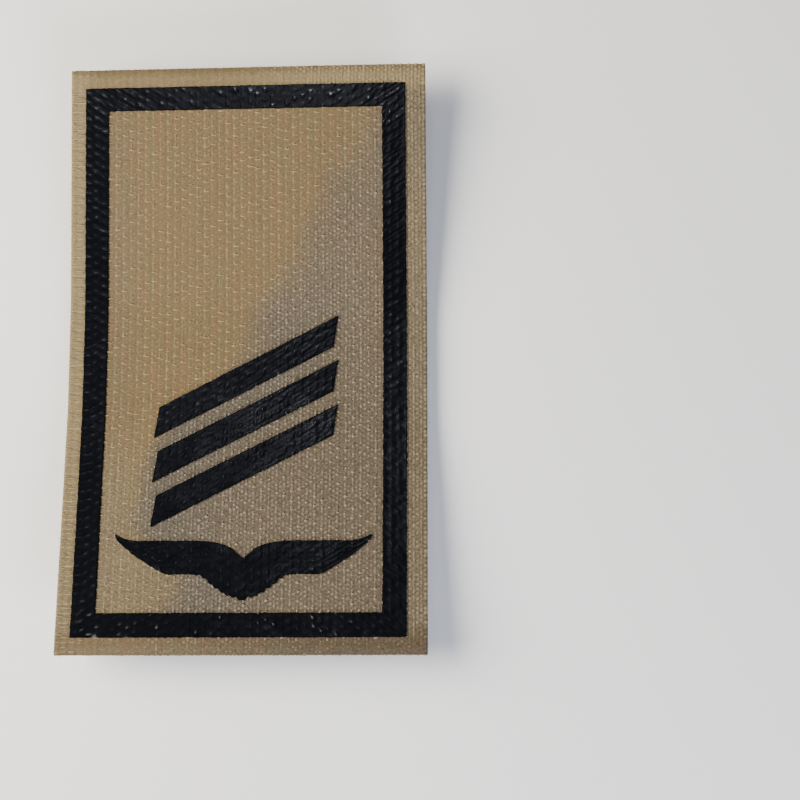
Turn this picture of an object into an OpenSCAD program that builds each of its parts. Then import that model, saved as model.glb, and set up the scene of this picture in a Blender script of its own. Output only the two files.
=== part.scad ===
// Rank patch: a rectangle of woven hook tape, printed with a frame, three rising stripes and a pair of wings.
// The patch lies face up. X runs to the right across it, Y up its length, and Z out of the printed face.
// The origin is the middle of its plan, at the height of the surface that it lies on.

/* [Tape] */
// Width of the patch
patch_w = 55; // [50:1:60]
// Length of the patch
patch_h = 90; // [84:1:96]
// Thickness of the woven ground
ground_t = 1; // [0.8:0.1:1.4]
// Height of the hooks under the ground
hook_t = 1.2; // [1:0.1:2]
// Bare rim round the hooks
hook_rim = 0.4; // [0.2:0.1:1]

/* [Form] */
// Rise of both short edges over the middle
curl_rise = 4.6; // [0:0.2:6]
// Half length of the stretch between the curled ends
curl_flat = 4; // [2:1:12]
// Roundness of the bend where each end starts to rise
curl_round = 4; // [1:1:12]
// Fall on either side of the diagonal ridge, per millimetre
ridge_fall = 0.025; // [0:0.005:0.04]
// Direction across the ridge, in degrees from X
ridge_dir = -29; // [-60:1:0]
// Distance of the ridge from the middle of the patch
ridge_off = 1.4; // [-5:0.1:5]
// Half width of the ridge's round top
ridge_round = 4; // [2:0.5:10]
// Height of the ridge over the surface at the middle of the patch
ridge_lift = 0.35; // [0.2:0.05:0.6]

/* [Frame print] */
// Bare margin left of the frame
margin_left = 2.3; // [1:0.1:3]
// Bare margin right of the frame
margin_right = 3.1; // [1:0.1:4]
// Bare margin over the frame
margin_top = 2.9; // [1:0.1:4]
// Bare margin under the frame
margin_bottom = 2.6; // [1:0.1:4]
// Width of the frame's line
frame_line = 3.6; // [3:0.1:4]

/* [Stripe print] */
// Length of each stripe, measured along X
stripe_run = 27.2; // [24:0.1:30]
// Rise of each stripe from its left to its right end
stripe_rise = 14; // [10:0.1:16]
// Depth of each stripe, measured along Y
stripe_depth = 4.8; // [4:0.1:5.4]
// Step from one stripe to the next, along Y
stripe_step = 6.85; // [6:0.05:8]
// Lean of the stripes' ends, along X
stripe_lean = 0.7; // [0:0.1:1.5]
// Place of the upper stripe's lower left corner, along X
stripe_x = -14; // [-16:0.1:-12]
// Place of the upper stripe's lower left corner, along Y
stripe_y = -12.3; // [-14:0.1:-11]

/* [Wings print] */
// Place of the wings' straight upper edge, along Y
wings_y = -28.05; // [-30:0.05:-26]
// Width of one feather along the lower edge
feather_w = 0.9; // [0.8:0.05:1.4]
// Depth of the notch between two feathers
feather_notch = 0.16; // [0:0.02:0.3]

/* [Hidden] */

sand = "#9c8866";
hook_sand = "#8f7d5d";
ink = "#111418";

// Thickness of the printed film, and the gap between any two layers
film_t = 0.15;
layer_gap = 0.05;
// Depth over which the tape flattens where it rests
press = 0.1;

// Cells of the layers along X and Y, and longest cell of the printed film
cells_x = 16;
cells_y = 28;
film_cell = 3.2;
// Stations along one feather of the wings
feather_steps = 4;

face_z = hook_t + layer_gap + ground_t;
film_z = face_z + layer_gap;

// One half of the wings, mirrored to the other side: distance from their middle, upper edge and lower edge,
// both edges measured from the straight part of the upper edge
wing_rows = [
    // [out,  upper, lower]
    [0.0,  -2.60, -9.15],
    [0.9,  -1.95, -8.60],
    [1.8,  -1.15, -8.45],
    [2.7,  -0.72, -8.05],
    [3.6,  -0.42, -7.40],
    [4.5,  -0.25, -6.80],
    [5.4,  -0.12, -5.95],
    [6.3,  -0.05, -5.40],
    [7.5,   0.00, -5.10],
    [9.0,   0.00, -5.05],
    [11.2,  0.00, -5.05],
    [12.4,  0.00, -4.60],
    [14.3,  0.00, -3.45],
    [16.1,  0.02, -2.30],
    [17.2,  0.15, -1.45],
    [18.1,  0.45, -0.70],
    [18.8,  0.78,  0.00],
    [19.2,  0.95,  0.72]
];
wing_out = 0;
wing_upper = 1;
wing_lower = 2;
wing_last = len(wing_rows) - 1;
wing_half = wing_rows[wing_last][wing_out];
wing_cells = 2 * ceil(wing_half / feather_w * feather_steps);

// Height of the tape's underside over the surface

function bend(run) = norm([run, curl_round]) - curl_round;

function curl(y) = curl_rise * bend(max(0, abs(y) - curl_flat)) / bend(patch_h / 2 - curl_flat);

function across_ridge(x, y) = x * cos(ridge_dir) + y * sin(ridge_dir) - ridge_off;

function ridge(x, y) = ridge_fall * (ridge_round - norm([across_ridge(x, y), ridge_round]));

function settled(h) = h < -press ? 0 : h > press ? h : pow(h + press, 2) / (4 * press);

function rest_height(x, y) = settled(curl(y) + ridge(x, y) + ridge_lift);

// Outline of the wings

function wing_slope(i, edge) =
    let (a = wing_rows[max(i - 1, 0)], b = wing_rows[min(i + 1, wing_last)])
    (b[edge] - a[edge]) / (b[wing_out] - a[wing_out]);

function wing_row_at(out) = min(wing_last - 1, len([for (row = wing_rows) if (row[wing_out] <= out) 1]) - 1);

function wing_edge(out, edge) =
    let (i = wing_row_at(out),
         a = wing_rows[i],
         b = wing_rows[i + 1],
         run = b[wing_out] - a[wing_out],
         t = (out - a[wing_out]) / run)
    (2 * t * t * t - 3 * t * t + 1) * a[edge] + (3 * t * t - 2 * t * t * t) * b[edge]
    + run * ((t * t * t - 2 * t * t + t) * wing_slope(i, edge) + (t * t * t - t * t) * wing_slope(i + 1, edge));

function feather(out) = feather_notch * (1 - abs(sin(180 * out / feather_w))) * min(1, wing_half - out);

// Grids of plan points: rows run up the patch, and the points of a row run to the right

function between(a, b, t) = a + (b - a) * t;

function rect_grid(x0, x1, y0, y1, nx, ny) =
    [for (j = [0 : ny]) [for (i = [0 : nx]) [between(x0, x1, i / nx), between(y0, y1, j / ny)]]];

function stripe_grid(y0) =
    let (nx = ceil(stripe_run / film_cell), ny = 2)
    [for (j = [0 : ny]) [for (i = [0 : nx])
        [stripe_x + stripe_run * i / nx + stripe_lean * j / ny,
         y0 + stripe_rise * i / nx + stripe_depth * j / ny]]];

function wing_grid() =
    let (ny = 2)
    [for (j = [0 : ny]) [for (i = [0 : wing_cells])
        let (x = wing_half * (2 * i / wing_cells - 1),
             out = min(abs(x), wing_half),
             low = wing_edge(out, wing_lower) + feather(out),
             high = wing_edge(out, wing_upper))
        [x, wings_y + between(low, high, j / ny)]]];

// The frame's line as rows of an outer and an inner point, clockwise from its lower left corner
function frame_grid() =
    let (outer = [[margin_left - patch_w / 2, margin_bottom - patch_h / 2],
                  [margin_left - patch_w / 2, patch_h / 2 - margin_top],
                  [patch_w / 2 - margin_right, patch_h / 2 - margin_top],
                  [patch_w / 2 - margin_right, margin_bottom - patch_h / 2]],
         inward = [[1, 1], [1, -1], [-1, -1], [-1, 1]])
    [for (side = [0 : 3])
        let (next = (side + 1) % 4,
             n = ceil(norm(outer[next] - outer[side]) / film_cell))
        for (i = [0 : n - 1])
            [between(outer[side], outer[next], i / n),
             between(outer[side] + frame_line * inward[side], outer[next] + frame_line * inward[next], i / n)]];

// One thin layer that follows the tape's form: low and high are its faces' heights over the tape's underside.
// A closed layer joins its last row to its first.
module layer(grid, low, high, closed = false) {
    rows = len(grid);
    cols = len(grid[0]);
    last_row = closed ? rows - 1 : rows - 2;
    points = [for (z = [low, high]) for (row = grid) for (p = row) [p.x, p.y, rest_height(p.x, p.y) + z]];
    under = [for (j = [0 : last_row]) for (i = [0 : cols - 2])
        let (a = j * cols + i, b = ((j + 1) % rows) * cols + i)
        each [[a, a + 1, b + 1], [a, b + 1, b]]];
    top = rows * cols;
    upper = [for (f = under) [f[2] + top, f[1] + top, f[0] + top]];
    sides = [for (j = [0 : last_row])
        let (a = j * cols, b = ((j + 1) % rows) * cols, end = cols - 1)
        each [[b, b + top, a + top, a], [a + end, a + end + top, b + end + top, b + end]]];
    ends = closed ? [] : [for (i = [0 : cols - 2])
        let (a = i, b = (rows - 1) * cols + i)
        each [[a, a + top, a + 1 + top, a + 1], [b + 1, b + 1 + top, b + top, b]]];
    polyhedron(points, concat(under, upper, sides, ends), convexity = 6);
}

module stripe(number) {
    color(ink) layer(stripe_grid(stripe_y - number * stripe_step), film_z, film_z + film_t);
}

module tape_ground() {
    color(sand)
        layer(rect_grid(-patch_w / 2, patch_w / 2, -patch_h / 2, patch_h / 2, cells_x, cells_y),
              hook_t + layer_gap, face_z);
}

module hook_field() {
    half_w = patch_w / 2 - hook_rim;
    half_h = patch_h / 2 - hook_rim;
    color(hook_sand) layer(rect_grid(-half_w, half_w, -half_h, half_h, cells_x, cells_y), 0, hook_t);
}

module border_print() {
    color(ink) layer(frame_grid(), film_z, film_z + film_t, closed = true);
}

module upper_stripe() {
    stripe(0);
}

module middle_stripe() {
    stripe(1);
}

module lower_stripe() {
    stripe(2);
}

module wings_print() {
    color(ink) layer(wing_grid(), film_z, film_z + film_t);
}

tape_ground();
hook_field();
border_print();
upper_stripe();
middle_stripe();
lower_stripe();
wings_print();
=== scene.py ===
import math

import bpy
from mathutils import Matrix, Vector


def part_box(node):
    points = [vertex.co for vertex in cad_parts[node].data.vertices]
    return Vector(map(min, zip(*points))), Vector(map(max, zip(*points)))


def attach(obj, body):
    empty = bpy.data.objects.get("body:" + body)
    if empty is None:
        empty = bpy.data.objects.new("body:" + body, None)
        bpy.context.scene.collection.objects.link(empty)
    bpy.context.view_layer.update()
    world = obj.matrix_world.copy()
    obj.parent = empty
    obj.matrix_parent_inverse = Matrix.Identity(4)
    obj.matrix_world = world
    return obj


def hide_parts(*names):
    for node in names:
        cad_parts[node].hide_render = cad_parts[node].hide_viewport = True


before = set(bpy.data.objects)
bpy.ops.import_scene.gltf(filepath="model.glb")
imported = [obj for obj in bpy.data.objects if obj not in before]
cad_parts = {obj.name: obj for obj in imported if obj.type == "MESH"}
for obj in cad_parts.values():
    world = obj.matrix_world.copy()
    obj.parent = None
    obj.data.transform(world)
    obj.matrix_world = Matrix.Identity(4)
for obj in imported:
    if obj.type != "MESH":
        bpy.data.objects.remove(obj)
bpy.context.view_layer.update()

# Rank patch of printed hook tape, lying face up with both ends curling off the surface.
# Every node tree works in millimetres on a flat patch. Its last steps lay the piece on the curl and turn it
# to metres.

body = "root"
mm = 0.001
tapeLow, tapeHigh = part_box("tape_ground")
tapeWidth = (tapeHigh.x - tapeLow.x) / mm
tapeLength = (tapeHigh.y - tapeLow.y) / mm


def linearColour(hexCode):
    parts = [int(hexCode[i:i + 2], 16) / 255 for i in (1, 3, 5)]
    return [c / 12.92 if c <= 0.04045 else ((c + 0.055) / 1.055) ** 2.4 for c in parts] + [1.0]


# Gives a node its inputs, in the order in which it shows them or in a dictionary by name or number. Each is
# a value, a socket, a node whose first shown output is used, the name of one of these in the graph, or None
# to leave it as it is. A graph is a dictionary of a node tree and of the sockets and nodes that have names.
def giveInputs(graph, node, inputs):
    if isinstance(inputs, dict):
        pairs = [(node.inputs[key], value) for key, value in inputs.items()]
    else:
        pairs = zip([socket for socket in node.inputs if socket.enabled], inputs)
    for socket, value in pairs:
        if isinstance(value, str):
            value = graph.get(value, value)
        if isinstance(value, bpy.types.Node):
            value = next(output for output in value.outputs if output.enabled)
        if isinstance(value, bpy.types.NodeSocket):
            graph["tree"].links.new(value, socket)
        elif value is not None:
            socket.default_value = value


# Adds one node with its settings and inputs
def addNode(graph, kind, inputs=(), **settings):
    node = graph["tree"].nodes.new(kind)
    for name, value in settings.items():
        setattr(node, name, value)
    giveInputs(graph, node, inputs)
    return node


# Adds a chain of nodes. A step is the name of its result, then a kind of node and its operation if it has
# one, or only the operation of a Math node, then its inputs, in order or in one dictionary.
def addSteps(graph, steps):
    for name, kind, *inputs in steps:
        kind = "ShaderNodeMath " + kind if kind.isupper() else kind
        kind, *operation = kind.split()
        settings = {"operation": operation[0]} if operation else {}
        inputs = inputs[0] if isinstance(inputs[0], dict) else inputs
        graph[name] = addNode(graph, kind, inputs, **settings)


# Adds a fade for each row: what it runs along, where it starts and ends, and its values there
def addFades(graph, fades, shape):
    for name, parts in fades.items():
        graph[name] = addNode(graph, "ShaderNodeMapRange", parts, interpolation_type=shape)


# Starts a geometry tree with a named input for each entry of sizes, and gives its graph the place of each
# point, the wear and the painted light and shade there, and the height at which the tape rests
def startTree(name, sizes):
    tree = bpy.data.node_groups.new(name, "GeometryNodeTree")
    tree.interface.new_socket("Geometry", in_out="INPUT", socket_type="NodeSocketGeometry")
    tree.interface.new_socket("Geometry", in_out="OUTPUT", socket_type="NodeSocketGeometry")
    kinds = {int: "NodeSocketInt", float: "NodeSocketFloat", bpy.types.Material: "NodeSocketMaterial"}
    for label, value in sizes.items():
        tree.interface.new_socket(label, in_out="INPUT", socket_type=kinds[type(value)])
    graph = {"tree": tree}
    graph.update(addNode(graph, "NodeGroupInput").outputs.items())
    graph["place"] = addNode(graph, "GeometryNodeInputPosition")
    graph.update(addNode(graph, "ShaderNodeSeparateXYZ", ("place",)).outputs.items())
    for group in (restHeight, wornLitAndShaded):
        atPlace = addNode(graph, "GeometryNodeGroup", {"Place": "place"}, node_tree=group)
        graph.update(atPlace.outputs.items())
    return graph


# Runs a tree on an object and keeps the result as a plain mesh
def growPiece(name, tree, sizes, flatMesh=None):
    piece = bpy.data.objects.new(name, flatMesh or bpy.data.meshes.new(name))
    bpy.context.scene.collection.objects.link(piece)
    modifier = piece.modifiers.new("grow", "NODES")
    modifier.node_group = tree
    for item in tree.interface.items_tree:
        if item.in_out == "INPUT" and item.name in sizes:
            modifier[item.identifier] = sizes[item.name]
    evaluated = piece.evaluated_get(bpy.context.evaluated_depsgraph_get())
    grown = bpy.data.meshes.new_from_object(evaluated)
    piece.modifiers.remove(modifier)
    piece.data = grown
    grown.name = name
    triangles = sum(len(face.vertices) - 2 for face in grown.polygons)
    print(f"{name}: {triangles} triangles")
    return piece


# The patch's form in millimetres, the same as the solid model's
form = {
    "curlRise": 4.6,        # rise of both short edges over the middle
    "curlFlat": 4.0,        # half length of the stretch between the curled ends
    "curlRound": 4.0,       # roundness of the bend where each end starts to rise
    "ridgeFall": 0.025,     # fall on either side of the diagonal ridge
    "ridgeTurn": -29.0,     # direction across the ridge, in degrees
    "ridgeOffset": 1.4,
    "ridgeRound": 4.0,
    "ridgeLift": 0.35,
    "settle": 0.15,         # depth over which the tape flattens where it rests
}
levels = {
    "hookRoot": 1.25,       # underside of the woven ground, over the surface
    "webTop": 2.20,         # top of the coated web that the yarns sit in
    "crest": 2.25,          # top of the yarns
}
ridgeTurn = math.radians(form["ridgeTurn"])
acrossRidge = (
    ("across", "MULTIPLY", "X", math.cos(ridgeTurn)),
    ("across", "MULTIPLY_ADD", "Y", math.sin(ridgeTurn), "across"),
)


# Starts a node group that works something out for each place on the patch
def startPlaceGroup(name, results):
    tree = bpy.data.node_groups.new(name, "GeometryNodeTree")
    tree.interface.new_socket("Place", in_out="INPUT", socket_type="NodeSocketVector")
    for label in results:
        tree.interface.new_socket(label, in_out="OUTPUT", socket_type="NodeSocketFloat")
    graph = {"tree": tree}
    graph["place"] = addNode(graph, "NodeGroupInput")
    graph.update(addNode(graph, "ShaderNodeSeparateXYZ", ("place",)).outputs.items())
    return graph


# Height of the tape's underside over the surface
def restHeightGroup():
    graph = startPlaceGroup("Rest Height", ["Rest Height"])
    curlRound = form["curlRound"]
    fullBend = math.hypot(tapeLength / 2 - form["curlFlat"], curlRound) - curlRound
    ridgeTop = form["ridgeLift"] + form["ridgeFall"] * form["ridgeRound"]
    addSteps(graph, (
        ("away", "ABSOLUTE", "Y"),
        ("past", "SUBTRACT", "away", form["curlFlat"]),
        ("past", "MAXIMUM", "past", 0.0),
        ("reach", "MULTIPLY_ADD", "past", "past", curlRound ** 2),
        ("reach", "SQRT", "reach"),
        ("bend", "SUBTRACT", "reach", curlRound),
        *acrossRidge,
        ("across", "SUBTRACT", "across", form["ridgeOffset"]),
        ("slant", "MULTIPLY_ADD", "across", "across", form["ridgeRound"] ** 2),
        ("slant", "SQRT", "slant"),
        ("ridge", "MULTIPLY_ADD", "slant", -form["ridgeFall"], ridgeTop),
        ("free", "MULTIPLY_ADD", "bend", form["curlRise"] / fullBend, "ridge"),
        ("height", "SMOOTH_MAX", "free", 0.0, form["settle"]),
    ))
    addNode(graph, "NodeGroupOutput", ("height",))
    return graph["tree"]


# Where the tape is worn, or light and shade are painted on it, each from 0 to 1. Bare: the yarns stand out
# of
# the coat beyond the ridge. Grey: greyer yarns, mostly beyond the ridge, with painted shade on the bottom
# margin.
# Then yarns paler as painted light on the side and top margins and the lower left, and painted shade that
# darkens the bottom margin towards the right. Ribbed: the right margin and the right of the top one.
# Smooth:
# the rest of the top margin, and the bottom one. Weft: picks lie uppermost.
wornLitAndShadedNames = ("Bare", "Grey", "Bleached", "Soiled", "Ribbed", "Smooth", "Weft")
rightEdge = tapeWidth / 2
topEdge = tapeLength / 2
ragged = {
    "scale": 0.12,
    "depth": 8.0,
    "bulge": (-8.0, -16.0, 0.0),    # place from which the bare stretch bulges to the upper left
}
# The fades that these are made of
bulgeFades = {
    "bulged": ("bulge", 0.0, 18.0, 8.0, 0.0),
    "drawnIn": ("Y", -26.0, -36.0, 0.0, 8.0),
}
wornLitAndShadedFades = {
    "Bare": ("across", -1.2, 7.2, 0.0, 1.0),
    "Weft": ("X", -20.0, -25.5, 0.0, 1.0),
    "top": ("Y", topEdge - 3.6, topEdge - 2.8, 0.0, 1.0),
    "onRight": ("X", -8.0, 14.0, 0.0, 1.0),
    "footEdge": ("Y", -42.3, -43.2, 0.0, 0.7),
    "rightRibs": ("X", rightEdge - 3.6, rightEdge - 2.6, 0.0, 0.65),
    "greyRidge": ("across", 0.0, 6.5, 0.0, 1.0),
    "greyBeyond": ("across", 9.0, 20.0, 1.0, 0.75),
    "greyUp": ("Y", -5.0, 18.0, 1.0, 0.65),
    "greyLeft": ("X", -15.0, -20.0, 0.0, 1.0),
    "greyLeftDown": ("Y", -8.0, -30.0, 0.15, 0.7),
    "greyLow": ("Y", -24.0, -32.0, 0.0, 0.5),
    "greyRight": ("X", rightEdge - 5.0, rightEdge - 2.8, 1.0, 1.2),
    "foot": ("Y", -40.5, -43.0, 0.0, 1.0),
    # painted shade on the bottom margin: greyer, and darker towards the right
    "footGrey": ("X", -26.0, 12.0, 0.2, 0.5),
    "footSoil": ("X", -24.0, 18.0, 0.05, 1.0),
    # painted light: paler on the left margin, the lower left, the right margin and the top
    "leftPale": ("X", -23.5, -25.5, 0.0, 1.0),
    "leftPaleDown": ("Y", -15.0, -45.0, 1.0, 0.8),
    "lowPale": ("Y", -6.0, -24.0, 0.0, 0.45),
    "rightPale": ("X", rightEdge - 5.0, rightEdge - 2.8, 0.0, 1.0),
    "rightPaleDown": ("Y", 30.0, -15.0, 0.4, 0.35),
    "topPale": ("X", -8.0, 14.0, 0.5, 1.0),
}


def wornLitAndShadedGroup():
    graph = startPlaceGroup("Wear", wornLitAndShadedNames)
    addSteps(graph, (
        ("ragged", "ShaderNodeTexNoise", {"Vector": "place", "Scale": ragged["scale"], "Detail": 2.0}),
        ("bulge", "ShaderNodeVectorMath DISTANCE", "place", ragged["bulge"]),
    ))
    addFades(graph, bulgeFades, "SMOOTHSTEP")
    addSteps(graph, (
        *acrossRidge,
        ("across", "MULTIPLY_ADD", "ragged", ragged["depth"], "across"),
        ("across", "ADD", "across", "bulged"),
        ("across", "SUBTRACT", "across", "drawnIn"),
    ))
    addFades(graph, wornLitAndShadedFades, "SMOOTHSTEP")
    addSteps(graph, (
        ("topRibs", "MULTIPLY", "top", "onRight"),
        ("Ribbed", "MAXIMUM", "topRibs", "rightRibs"),
        ("Smooth", "SUBTRACT", "top", "topRibs"),
        ("Smooth", "MAXIMUM", "Smooth", "footEdge"),
        ("greyLeft", "MULTIPLY", "greyLeft", "greyLeftDown"),
        ("belowTop", "SUBTRACT", 1.0, "top"),
        ("overFoot", "SUBTRACT", 1.0, "foot"),
        ("footGrey", "MULTIPLY", "footGrey", "foot"),
        ("Grey", "MULTIPLY", "greyRidge", "greyBeyond"),
        ("Grey", "MULTIPLY", "Grey", "greyUp"),
        ("Grey", "MAXIMUM", "Grey", "greyLeft"),
        ("Grey", "MAXIMUM", "Grey", "greyLow"),
        ("Grey", "MULTIPLY", "Grey", "belowTop"),
        ("Grey", "MULTIPLY", "Grey", "greyRight"),
        ("Grey", "MULTIPLY", "Grey", "overFoot"),
        # painted shade: the bottom margin greyer, and darker towards the right
        ("Grey", "MAXIMUM", "Grey", "footGrey"),
        ("Soiled", "MULTIPLY", "footSoil", "foot"),
        ("leftPale", "MULTIPLY", "leftPale", "leftPaleDown"),
        ("covered", "SUBTRACT", 1.0, "Bare"),
        ("lowPale", "MULTIPLY", "lowPale", "covered"),
        ("rightPale", "MULTIPLY", "rightPale", "rightPaleDown"),
        # painted light: paler yarns on the top, left and right margins and in the lower left
        ("Bleached", "MULTIPLY", "topPale", "top"),
        ("Bleached", "MAXIMUM", "Bleached", "leftPale"),
        ("Bleached", "MAXIMUM", "Bleached", "lowPale"),
        ("Bleached", "MAXIMUM", "Bleached", "rightPale"),
        ("Bleached", "SUBTRACT", "Bleached", "foot"),
    ))
    addNode(graph, "NodeGroupOutput", wornLitAndShadedNames)
    return graph["tree"]


restHeight = restHeightGroup()
wornLitAndShaded = wornLitAndShadedGroup()


# Last steps of every tree: lay the flat piece on the curl, turn it to metres, realize it and give it its
# material
def layDown(graph, geometry, sharpFaces=None):
    graph["laid"] = addNode(graph, "GeometryNodeRealizeInstances", (geometry,))
    addSteps(graph, (
        # the grey, and the painted light and painted shade, go to the materials as attributes
        *(("laid", "GeometryNodeStoreNamedAttribute",
           {"Geometry": "laid", "Name": name.lower(), "Value": name})
          for name in ("Grey", "Bleached", "Soiled")),
        ("down", "ShaderNodeCombineXYZ", 0.0, 0.0, "Rest Height"),
        ("laid", "GeometryNodeSetPosition", {"Geometry": "laid", "Offset": "down"}),
        ("laid", "GeometryNodeTransform", {"Geometry": "laid", "Scale": (mm, mm, mm)}),
        ("laid", "GeometryNodeSetShadeSmooth", {"Geometry": "laid"}),
    ))
    if sharpFaces is not None:
        rounded = addNode(graph, "FunctionNodeBooleanMath", (sharpFaces,), operation="NOT")
        giveInputs(graph, graph["laid"], {"Selection": rounded})
    finished = addNode(graph, "GeometryNodeSetMaterial", {"Geometry": "laid", "Material": "Material"})
    addNode(graph, "NodeGroupOutput", (finished,))


# Sweeps an oval ring along paths. Upright keeps its height along Z wherever the path runs.
def sweepOval(graph, path, sides, width, height, swell=1.0, ringTurn=0.0, upright=True, caps=True):
    if upright:
        path = addNode(graph, "GeometryNodeSetCurveNormal", {"Curve": path}, mode="Z_UP")
    addSteps(graph, (
        ("ringTurn", "ShaderNodeCombineXYZ", 0.0, 0.0, ringTurn),
        ("ringSize", "ShaderNodeCombineXYZ", width, height, 1.0),
        ("ring", "GeometryNodeCurvePrimitiveCircle", {"Resolution": sides, "Radius": 0.5}),
        ("ring", "GeometryNodeTransform", {"Geometry": "ring", "Rotation": "ringTurn"}),
        ("ring", "GeometryNodeTransform", {"Geometry": "ring", "Scale": "ringSize"}),
    ))
    return addNode(graph, "GeometryNodeCurveToMesh", (path, "ring", swell, caps))


# Turns a noise into a push that is as strong in every direction
def noisePush(graph, noise, strength):
    addSteps(graph, (
        ("push", "ShaderNodeVectorMath SUBTRACT", graph[noise].outputs["Color"], (0.5, 0.5, 0.5)),
        ("push", "ShaderNodeVectorMath SCALE", "push", strength),
    ))


print("frame and form ready")

# Camera at the photograph's angle, nearly overhead, over a pale floor

view = {
    "place": (33.2, -49.2, 267.9),      # millimetres
    "turn": (9.10, 2.14, -0.10),        # degrees
    "lens": 79.74,
    "sensor": 36,
    "nearest": 0.01,                    # metres
    "floorReach": 3.0,
}
camera = bpy.data.objects.new("camera", bpy.data.cameras.new("camera"))
camera.location = [v * mm for v in view["place"]]
camera.rotation_euler = [math.radians(v) for v in view["turn"]]
camera.data.lens = view["lens"]
camera.data.sensor_width = view["sensor"]
camera.data.clip_start = view["nearest"]
bpy.context.scene.collection.objects.link(camera)
bpy.context.scene.camera = camera

# Matt white card: even and without gloss, so that only the patch's own soft shadow shows on it
floorMaterial = bpy.data.materials.new("mattWhiteCard")
floorMaterial.use_nodes = True
floorShader = floorMaterial.node_tree.nodes["Principled BSDF"]
floorShader.inputs["Base Color"].default_value = linearColour("#f7f7f6")
floorShader.inputs["Roughness"].default_value = 0.9
floorShader.inputs["Specular IOR Level"].default_value = 0.1
floorMesh = bpy.data.meshes.new("floor")
reach = view["floorReach"]
floorMesh.from_pydata([(-reach, -reach, 0), (reach, -reach, 0), (reach, reach, 0), (-reach, reach, 0)], [],
                      [(0, 1, 2, 3)])
floorMesh.materials.append(floorMaterial)
floor = bpy.data.objects.new("floor", floorMesh)
bpy.context.scene.collection.objects.link(floor)

# Soft studio light: a large warm source on the left and a large cool one at the lower right light the
# weave, and two small weak ones overhead give the film its gloss. Each has its place and size in metres,
# its watts, its colour, and whether gloss shows it.
lights = {
    "key": ((-0.30, 0.03, 0.23), 0.36, 4.75, "#fff8ec", False),
    "right": ((0.22, -0.46, 0.17), 0.30, 5.0, "#e8eeff", False),
    "overhead": ((-0.11, 0.11, 0.80), 0.24, 0.09, "#eef2ff", True),
    "glint": ((-0.10, 0.33, 0.78), 0.10, 0.34, "#eef2ff", True),
}
for name, (place, size, watts, colour, gloss) in lights.items():
    lamp = bpy.data.lights.new(name, "AREA")
    lamp.shape = "DISK"
    lamp.size = size
    lamp.energy = watts
    lamp.color = linearColour(colour)[:3]
    lampObject = bpy.data.objects.new(name, lamp)
    lampObject.location = place
    lampObject.rotation_euler = (-lampObject.location).to_track_quat("-Z", "Y").to_euler()
    lampObject.visible_glossy = gloss
    bpy.context.scene.collection.objects.link(lampObject)
world = bpy.data.worlds.new("studio")
bpy.context.scene.world = world
world.use_nodes = True
world.node_tree.nodes["Background"].inputs["Color"].default_value = linearColour("#dfe3ea")
world.node_tree.nodes["Background"].inputs["Strength"].default_value = 0.06

print("camera, floor and light ready")

# Materials

colours = {
    "sand": "#736348",
    "sandPale": "#7b6b4f",
    "sandDeep": "#6a5b42",
    "sandGreen": "#6d6345",
    "sandBrown": "#765e44",
    "sandBare": "#645c50",
    # paler yarn colour that paints light on the margins
    "sandPaintedLight": "#827355",
    "float": "#917e5c",
    "floatBare": "#847864",
    # deeper than the yarns: painted shade in the grooves between them
    "web": "#705f43",
    "hook": "#8a7554",
    "film": "#050609",
    "filmWorn": "#0d0e12",
    "filmThrough": "#b9b2a4",
}
# Sizes of the patterns in millimetres, and their strengths
mottling = {
    "driftWidth": 1.8,      # slow stretches of another dye lot
    "driftLength": 7.0,
    "driftShare": 0.55,
    "grain": 0.28,
    "grainDepth": 0.9,
    "bareGrainDepth": 0.8,  # more where the yarns are bare
    "toneDepth": 0.16,      # brightness from the darkest yarn to the palest
    # brightness that is left where painted shade darkens the bottom margin
    "paintedShadeValue": 0.68,
}
mottlingFades = {
    "greener": ("drift", 0.5, 0.68, 0.0, mottling["driftShare"]),
    "browner": ("drift", 0.5, 0.32, 0.0, mottling["driftShare"]),
    "clean": ("soiled", 0.0, 1.0, 1.0, mottling["paintedShadeValue"]),
}
yarnLook = {
    "filament": 0.06,       # two or three real filaments wide, so that they still show
    "streak": 1.2,
    "blotch": 9.0,
    "blotchShare": 0.35,
    # painted shade in the gaps between the filaments
    "seamShadeShare": 0.35,      # how dark the gaps between the filaments are
}
yarnFades = {
    "uneven": ("blotch", 0.35, 0.7, 0.0, yarnLook["blotchShare"]),
    "seamShade": ("fibres", 0.3, 0.55, yarnLook["seamShadeShare"], 0.0),
}
filmLook = {
    "crease": 1.3,
    "grain": 0.25,
    "patch": 3.0,
    "dull": (0.36, 0.20),   # roughness where least and most buffed
    "gloss": (0.12, 0.45),
}
# Fades on the film. Relief is its height over the surface that the flat patch lies on, in millimetres.
filmFades = {
    "worn": ("relief", 2.20, 2.35, 0.0, 0.8),
    "scuffed": ("Y", -38.6 * mm, -39.2 * mm, 0.0, 0.16),
    "scuffedInside": ("X", -24.5 * mm, -22.5 * mm, 0.0, "scuffed"),
    "through": ("relief", 2.30, 2.33, 0.0, "scuffedInside"),
    "buffedUp": ("Y", 8.0 * mm, 42.0 * mm, 0.0, 0.45),
    "buffedLow": ("Y", -38.0 * mm, -8.0 * mm, -0.38, 0.0),
    "buffedRight": ("X", -25.0 * mm, 10.0 * mm, -0.42, 0.1),
    "crestGloss": ("X", -26.0 * mm, -14.0 * mm, 0.08, 0.32),
    "crest": ("relief", 2.27, 2.33, 0.0, "crestGloss"),
    "polished": ("relief", 2.27, 2.33, 1.0, 0.6),
}


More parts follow.
